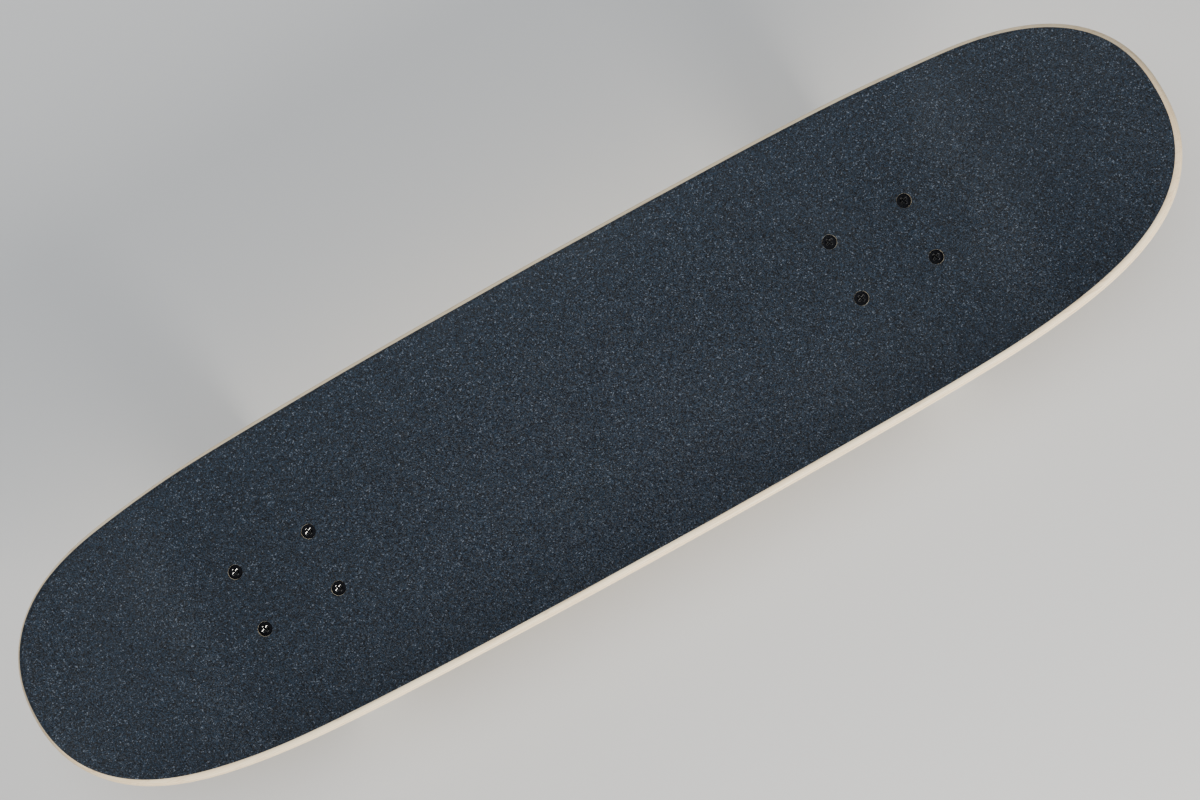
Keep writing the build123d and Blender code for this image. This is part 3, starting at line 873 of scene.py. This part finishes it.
def threadRows(low, high, radius, pitch, depth):
    # rows of a screw thread from low to high; both ends fade out to the root
    count = max(2, round((high - low) / pitch * thread["rowsPerTurn"]))
    runOut = thread["runOut"]
    rows = []
    for step in range(count + 1):
        height = low + (high - low) * step / count
        fade = min(1.0, (height - low) / pitch * runOut, (high - height) / pitch * runOut)

        def radiusAt(angle, height=height, fade=fade):
            phase = (height / pitch - angle / fullTurn) % 1.0
            ridge = 1 - abs(2 * phase - 1)
            rise = max(0.0, min(1.0, (ridge - thread["rootFlat"]) * thread["steepness"]))
            return radius - depth * (1 - rise * fade)

        rows.append((height, radiusAt))
    return rows


def lockNut(name, flats, height, bore, metal, insert):
    # hexagon with turned corners, a rolled collar and the ring inside it, standing on z = 0
    corner, apothem = flats / math.sqrt(3), flats / 2
    hexTop, cut, roll = height * nut["hexShare"], nut["chamfer"], nut["roll"]
    collar = apothem - nut["collarInset"]
    turned = corner * nut["chamferShare"]
    hexRows = [
        (0.0, apothem - 0.0001), (0.0001, apothem + 0.0001), (cut, turned), (cut * 1.5, corner),
        (hexTop - cut * 1.5, corner), (hexTop - cut, turned), (hexTop - 0.0001, apothem + 0.0001),
        (hexTop, collar + 0.0003)]
    rows = [(0.0, bore + 0.0003)] + [(place, chamferedHex(flats, limit)) for place, limit in hexRows]
    rows.append((hexTop + 0.0003, collar))
    rows += arcRows(height - roll, collar - roll, roll, 5)
    rows += [(height - depth, bore + width) for depth, width in nut["lip"]]
    shell = sharpenBy(ringSolid(name + "Shell", rows, 72, metal), 35)
    ring = [(height - depth, bore + width) for depth, width in nut["insert"]]
    return shell, ringSolid(name + "Ring", ring, 48, insert)


def crossCutter(turn):
    # one slot of the cross recess, smaller at its bottom
    length, width = boltLook["crossLength"] / 2, boltLook["crossWidth"] / 2
    top = [(-length, -width), (length, -width), (length, width), (-length, width)]
    points = [(x, y, 0.0004) for x, y in top]
    points += [(x * 0.45, y * 0.55, -boltLook["crossDepth"]) for x, y in top]
    faces = [(0, 1, 2, 3), (7, 6, 5, 4), (0, 4, 5, 1), (1, 5, 6, 2), (2, 6, 7, 3), (3, 7, 4, 0)]
    cutter = meshPiece("cross", points, faces)
    cleanNormals(cutter)
    return placeMesh(cutter, Matrix.Rotation(turn, 4, "Z"))


def wearRecess(bolt):
    # the driver has rounded the rim of the cross recess and rubbed it bare; its lighter colour is partly that
    # wear and partly a painted glint
    mesh = bolt.data
    weights = mesh.attributes.new("bevel_weight_edge", "FLOAT", "EDGE")
    reach = boltLook["crossLength"] / 2 + 0.0001
    for edge in mesh.edges:
        ends = [mesh.vertices[index].co for index in edge.vertices]
        onTop = all(abs(point.z - ends[0].z) < 0.00003 and point.z > -0.00013 for point in ends)
        weights.data[edge.index].value = float(onTop and all(point.xy.length < reach for point in ends))
    # the bevel's own faces get the second material, which marks them for the lighter colour of wear and
    # painted glint
    mesh.materials.append(blackSteel)
    bevel = bolt.modifiers.new("wear", "BEVEL")
    bevel.limit_method = "WEIGHT"
    bevel.width = boltLook["wear"]
    bevel.segments = 1
    bevel.material = 1
    applyModifiers(bolt)
    addValues(bolt, "wornAndGlint", [float(face.material_index) for face in bolt.data.polygons], "FACE")
    for face in bolt.data.polygons:
        face.material_index = 0


def boltWithCross():
    look = boltLook
    head, shaft, depth = look["headRadius"], look["shaftRadius"], look["threadDepth"]
    rimLow, tip = -look["headRim"], -look["length"]
    coneLow = rimLow - (head - shaft)
    threadTop = tip * look["threadShare"]
    rows = [(tip, 0.0009), (tip, shaft - 0.0006), (tip + 0.0004, shaft - depth)]
    rows += threadRows(tip + 0.0005, threadTop, shaft, look["pitch"], depth)
    rows += [
        (threadTop + 0.0003, shaft), (coneLow - 0.0003, shaft), (coneLow, shaft + 0.0001),
        (rimLow - 0.0001, head - 0.0001), (rimLow, head), (-0.00012, head), (0.0, head - 0.00015),
        (0.00005, head * 0.6)]
    bolt = ringSolid("mountingBolt", rows, 40, blackSteel, closed=False)
    for turn in (0, math.pi / 2):
        cutHoles(bolt, [crossCutter(turn + look["crossTurn"])])
    wearRecess(bolt)
    return sharpenBy(bolt, 35)


bolt = boltWithCross()
nutLook = dict(flats=0.0095, height=0.0055)
nutShell, nutRing = lockNut(
    "mountingNut", nutLook["flats"], nutLook["height"], boltLook["shaftRadius"], blackSteel, blackRubber)
for part in (nutShell, nutRing):
    placeMesh(part, Matrix.Rotation(math.pi, 4, "X"))
for end in ends:
    low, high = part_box(end + "_mounting_nuts")
    bolts = copiesOnPattern(end + "MountingBolts", bolt, end, blackSteel, board["top"] + boltLook["proud"])
    settle(bolts, "board", "black_steel", end + "_mounting_bolts")
    nuts = copiesOnPattern(end + "MountingNuts", nutShell, end, blackSteel, high.z)
    settle(nuts, "board", "black_steel", end + "_mounting_nuts")
    settle(copiesOnPattern(end + "NutInserts", nutRing, end, blackRubber, high.z), "board", "seal_rubber")
for part in (bolt, nutShell, nutRing):
    bpy.data.objects.remove(part)
print("bolts and nuts ready")


# trucks

truck = dict(lean=math.radians(25), ring=Vector((-0.0135, 0, -0.0315)), castVoxel=0.00062, castSmooth=6)


def truckMatrix(end):
    # from the middle of the bolt pattern on the deck's underside, X outwards, to its place
    low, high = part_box(end + "_baseplate")
    turn = 0 if end == "front" else math.pi
    return Matrix.Translation(((low.x + high.x) / 2, 0, high.z)) @ Matrix.Rotation(turn, 4, "Z")


def pinMatrix(end):
    # on the kingpin's axis at the middle of the hanger's ring, Z towards the board
    return truckMatrix(end) @ Matrix.Translation(truck["ring"]) @ Matrix.Rotation(truck["lean"], 4, "Y")


def axleMatrix(end, side):
    # at the middle of the axle, Z outwards to one side
    turn = -math.pi / 2 if side == "left" else math.pi / 2
    low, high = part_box(end + "_axle")
    return Matrix.Translation(((low.x + high.x) / 2, 0, (low.z + high.z) / 2)) @ Matrix.Rotation(turn, 4, "X")


def castPiece(name, node, body):
    # the CAD casting with its inside corners filled and its edges softened as a sand mould leaves them
    piece = bpy.data.objects.new(name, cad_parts[node].data.copy())
    bpy.context.scene.collection.objects.link(piece)
    cleanNormals(piece, merge=0.000002)
    remesh = piece.modifiers.new("skin", "REMESH")
    remesh.mode = "VOXEL"
    remesh.voxel_size = truck["castVoxel"]
    remesh.use_smooth_shade = True
    smooth = piece.modifiers.new("soften", "SMOOTH")
    smooth.factor = 0.5
    smooth.iterations = truck["castSmooth"]
    applyModifiers(piece)
    piece.data.materials.clear()
    piece.data.materials.append(castAluminium)
    settle(piece, body, "cast_aluminium", node)
    print(name, "ready", len(piece.data.polygons))


for end in ends:
    castPiece(end + "BaseplateCasting", end + "_baseplate", "board")
    castPiece(end + "HangerCasting", end + "_hanger", end + "_hanger_unit")


# kingpin with its head, thread and lock nut

kingpin = dict(
    radius=0.00475, low=-0.0265, threadTop=-0.0125, headLow=0.0266, headHeight=0.004, flats=0.0143,
    nutTop=-0.016, nutHeight=0.0087, pitch=0.00106, threadDepth=0.0006)
axle = dict(radius=0.00397, pitch=0.00106, threadDepth=0.0006, threaded=0.0135)


def kingpinSolid(name):
    k = kingpin
    radius, low, headLow, depth = k["radius"], k["low"], k["headLow"], k["threadDepth"]
    top = headLow + k["headHeight"]
    corner = k["flats"] / math.sqrt(3)
    whole, turned = chamferedHex(k["flats"], corner), chamferedHex(k["flats"], corner * 0.94)
    rows = [(low, 0.0018), (low, radius - 0.0012), (low + 0.0008, radius - depth)]
    rows += threadRows(low + 0.0009, k["threadTop"], radius, k["pitch"], depth)
    rows += [
        (k["threadTop"] + 0.0004, radius), (headLow, radius), (headLow, whole), (top - 0.0005, whole),
        (top, turned), (top, 0.002)]
    return sharpenBy(ringSolid(name, rows, 60, zincSteel, closed=False), 35)


def seenFromBehind(radius):
    # the same radius for a row on the axle's other half
    return (lambda angle: radius(-angle)) if callable(radius) else radius


def axleSolid(name, half):
    radius, depth = axle["radius"], axle["threadDepth"]
    start = half - axle["threaded"]
    right = [(start, radius)] + threadRows(start + 0.0003, half - 0.0009, radius, axle["pitch"], depth)
    right += [(half - 0.0006, radius - depth), (half, radius - 0.0012), (half, 0.0011)]
    left = [(-height, seenFromBehind(reach)) for height, reach in reversed(right)]
    return sharpenBy(ringSolid(name, left + right, 40, zincSteel, closed=False), 35)


for end in ends:
    pin = placeMesh(kingpinSolid(end + "KingpinBolt"), pinMatrix(end))
    settle(pin, "board", "zinc_steel", end + "_kingpin")
    shell, ring = lockNut(
        end + "KingpinNut", kingpin["flats"], kingpin["nutHeight"], kingpin["radius"], zincSteel, nylonInsert)
    down = Matrix.Translation((0, 0, kingpin["nutTop"])) @ Matrix.Rotation(math.pi, 4, "X")
    settle(placeMesh(shell, pinMatrix(end) @ down), "board", "zinc_steel", end + "_kingpin_nut")
    settle(placeMesh(ring, pinMatrix(end) @ down), "board", "cage_nylon")
    low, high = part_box(end + "_axle")
    rod = placeMesh(axleSolid(end + "AxleRod", (high.y - low.y) / 2), axleMatrix(end, "left"))
    settle(rod, end + "_hanger_unit", "zinc_steel", end + "_axle")


# bushings squeeze between board and hanger

bushing = dict(
    bore=0.0049, wide=0.0120, waist=0.0127, small=0.0096, smallBulge=0.0004, boardLow=0.00405,
    boardHigh=0.0186, roadLow=-0.0145, roadHigh=-0.00405, lip=0.0007, rows=18, boreRows=8)


def barrelRows(low, high, lowRadius, highRadius, bulge):
    bore, lip, steps, inside = bushing["bore"], bushing["lip"], bushing["rows"], bushing["boreRows"]
    rows = [(low, bore), (low, lowRadius - lip)]
    for step in range(steps + 1):
        share = step / steps
        height = low + lip + (high - low - 2 * lip) * share
        radius = lowRadius + (highRadius - lowRadius) * share + bulge * math.sin(math.pi * share)
        rows.append((height, radius))
    rows += [(high, highRadius - lip), (high, bore)]
    return rows + [(high + (low - high) * step / inside, bore) for step in range(1, inside)]


def addBushing(end, name, node, rows):
    matrix = pinMatrix(end)
    piece = placeMesh(sharpenBy(ringSolid(end + name, rows, 64, bushingUrethane), 60), matrix)
    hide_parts(end + node)
    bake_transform(piece)


b = bushing
boardsideRows = barrelRows(b["boardLow"], b["boardHigh"], b["wide"], b["wide"], b["waist"] - b["wide"])
roadsideRows = barrelRows(b["roadLow"], b["roadHigh"], b["small"], b["wide"], b["smallBulge"])
for end in ends:
    addBushing(end, "BoardsideBushing", "_boardside_bushing", boardsideRows)
    addBushing(end, "RoadsideBushing", "_roadside_bushing", roadsideRows)
print("trucks ready")


# wheels and bearings

wheel = dict(
    radius=0.026, half=0.0155, tread=0.0095, face=0.0198, recess=0.0122, seat=0.011, seatIn=0.005,
    seatOut=0.012, bore=0.009, crown=0.00002, lipSteps=12, lipPower=0.92, dirtFrom=0.0235,
    dirtSpan=0.0022)
seal = dict(inner=0.0064, outer=0.00895, station=0.0028, thickness=0.0004, offset=0.0085)
axleNut = dict(flats=0.0127, height=0.007)


def wheelSolid(name):
    w = wheel
    radius, half, tread, face, recess = w["radius"], w["half"], w["tread"], w["face"], w["recess"]
    quarter = [(0.0, radius), (tread * 0.5, radius), (tread * 0.85, radius - w["crown"])]
    for step in range(1, w["lipSteps"] + 1):
        angle = math.pi / 2 * step / w["lipSteps"]
        height = tread + (half - tread) * math.sin(angle) ** w["lipPower"]
        quarter.append((height, face + (radius - face) * math.cos(angle) ** w["lipPower"]))
    quarter += [
        (half - 0.00025, face - 0.0012), (half - 0.0007, face - 0.0022), (half - 0.0008, face - 0.0040),
        (half - 0.00045, recess + 0.0016), (half - 0.0003, recess + 0.0011),
        (half - 0.0006, recess + 0.0004), (half - 0.0012, recess), (w["seatOut"], recess),
        (w["seatOut"], w["seat"]), (w["seatIn"], w["seat"]), (w["seatIn"], w["bore"]), (0.0, w["bore"])]
    mirror = [(-height, reach) for height, reach in reversed(quarter[1:-1])]
    piece = ringSolid(name, quarter + mirror, 112, wheelUrethane)
    radii = [math.hypot(vertex.co.x, vertex.co.y) for vertex in piece.data.vertices]
    addValues(piece, "tread", [min(1.0, max(0.0, (r - w["dirtFrom"]) / w["dirtSpan"])) for r in radii])
    return sharpenBy(piece, 38)


def sealSolid(name):
    # four rubber seals, two to a bearing, each with a raised lip and a groove
    inner, outer = seal["inner"], seal["outer"]
    middle = (inner + outer) / 2
    pieces = []
    for bearing, face in ((-1, -1), (-1, 1), (1, -1), (1, 1)):
        low = bearing * seal["offset"] + face * seal["station"]
        top = low + face * seal["thickness"]
        groove = top - face * 0.00018
        rows = [
            (low, inner), (low, outer), (top - face * 0.0001, outer), (top, outer - 0.0003),
            (top, middle + 0.0006), (groove, middle + 0.0004), (groove, middle), (top, middle - 0.0003),
            (top, inner + 0.0003), (top - face * 0.00015, inner)]
        pieces.append(ringSolid("seal", rows, 64, blackRubber))
    return sharpenBy(joinPieces(name, pieces), 35)


for end in ends:
    for side in sides:
        word = end + side.capitalize()
        node = end + "_" + side
        low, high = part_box(node + "_wheel")
        hub = axleMatrix(end, side) @ Matrix.Translation((0, 0, abs(low.y + high.y) / 2))
        tyre = placeMesh(wheelSolid(word + "Wheel"), hub)
        settle(tyre, node + "_wheel_unit", "wheel_urethane", node + "_wheel")
        seals = placeMesh(sealSolid(word + "BearingSeals"), hub)
        settle(seals, node + "_wheel_unit", "seal_rubber", node + "_bearing_shields")
    nuts, rings = [], []
    low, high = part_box(end + "_axle_nuts")
    for side in sides:
        shell, ring = lockNut(
            end + side + "AxleNut", axleNut["flats"], axleNut["height"], axle["radius"], zincSteel,
            nylonInsert)
        out = axleMatrix(end, side) @ Matrix.Translation((0, 0, high.y - axleNut["height"]))
        nuts.append(placeMesh(shell, out))
        rings.append(placeMesh(ring, out))
    settle(joinPieces(end + "AxleNuts", nuts), end + "_hanger_unit", "zinc_steel", end + "_axle_nuts")
    settle(joinPieces(end + "AxleNutInserts", rings), end + "_hanger_unit", "cage_nylon")
print("wheels ready")


# finishes for the CAD parts that stay

finishes = {
    "pivot_cup": blackRubber, "cup_washer": zincSteel, "speed_washers": zincSteel,
    "outer_races": bearingSteel, "inner_races": bearingSteel, "balls": bearingSteel,
    "ball_cages": nylonInsert, "bearing_spacer": zincSteel}
for name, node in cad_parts.items():
    for ending, material in finishes.items():
        if name.endswith(ending):
            node.data.materials.clear()
            node.data.materials.append(material)


# floor, lights and camera

def areaLight(name, place, target, size, power, colour):
    light = bpy.data.lights.new(name, "AREA")
    light.shape = "DISK"
    light.size = size
    light.energy = power
    light.color = colour
    lamp = bpy.data.objects.new(name, light)
    lamp.location = place
    lamp.rotation_euler = (target - place).to_track_quat("-Z", "Y").to_euler()
    bpy.context.scene.collection.objects.link(lamp)


studio = dict(floorColour=(0.66, 0.655, 0.64), floorReach=8, world=(0.90, 0.93, 1.0), worldPower=0.35)
reach = studio["floorReach"]
corners = [(-reach, -reach, 0), (reach, -reach, 0), (reach, reach, 0), (-reach, reach, 0)]
floor = meshPiece("floor", corners, [(0, 1, 2, 3)])
floorMaterial, floorTree, floorShader = newMaterial(
    "floorPaint", {"Roughness": 0.6, "Specular IOR Level": 0.3})
floorTone = noiseNode(floorTree, objectVector(floorTree), 2.0, 3.0, 0.5)
floorLight = tuple(channel * 1.02 for channel in studio["floorColour"])
feed(floorTree, mixColour(floorTree, floorTone, studio["floorColour"], floorLight), floorShader["Base Color"])
# the floor hides nothing from a camera below it
backfacing = floorTree.nodes.new("ShaderNodeNewGeometry").outputs["Backfacing"]
through = floorTree.nodes.new("ShaderNodeBsdfTransparent").outputs[0]
painted = floorTree.nodes["Principled BSDF"].outputs[0]
chosen = addNode(floorTree, "ShaderNodeMixShader", {0: backfacing, 1: painted, 2: through}).outputs[0]
feed(floorTree, chosen, floorTree.nodes["Material Output"].inputs["Surface"])
floor.data.materials.append(floorMaterial)

world = bpy.data.worlds.new("studioWorld")
bpy.context.scene.world = world
world.use_nodes = True
world.node_tree.nodes["Background"].inputs["Color"].default_value = (*studio["world"], 1)
world.node_tree.nodes["Background"].inputs["Strength"].default_value = studio["worldPower"]

# the camera stands almost over the board; the board is turned and leans a little in its view
shot = dict(
    lens=54.43, sensor=36.0, distance=1.1578, leanX=-0.0662, leanY=-0.0631, turn=0.5036,
    across=-0.0105, up=-0.0099)
lean = Matrix.Rotation(shot["leanX"], 3, "X") @ Matrix.Rotation(shot["leanY"], 3, "Y")
toBoard = (lean @ Matrix.Rotation(shot["turn"], 3, "Z")).transposed()
middle = Vector((board["wheelbaseMiddle"], 0, board["top"]))
lens = bpy.data.cameras.new("studioCamera")
lens.lens = shot["lens"]
lens.sensor_width = shot["sensor"]
lens.clip_start = 0.05
camera = bpy.data.objects.new("studioCamera", lens)
place = middle + toBoard @ (Vector((0, 0, shot["distance"])) - Vector((shot["across"], shot["up"], 0)))
camera.matrix_world = Matrix.Translation(place) @ toBoard.to_4x4()
bpy.context.scene.collection.objects.link(camera)
bpy.context.scene.camera = camera

# directions in the camera's own view: right, up and towards the camera
right, up, back = toBoard @ Vector((1, 0, 0)), toBoard @ Vector((0, 1, 0)), toBoard @ Vector((0, 0, 1))
areaLight("keyLight", middle + right * 1.15 - up * 1.45 + back * 0.75, middle, 0.8, 78, (1.0, 0.96, 0.90))
areaLight("topLight", middle - right * 0.4 + up * 0.5 + back * 2.2, middle, 1.6, 30, (0.90, 0.95, 1.0))
areaLight("fillLight", middle - right * 1.8 + up * 0.6 + back * 0.6, middle, 1.4, 5, (0.95, 0.97, 1.0))
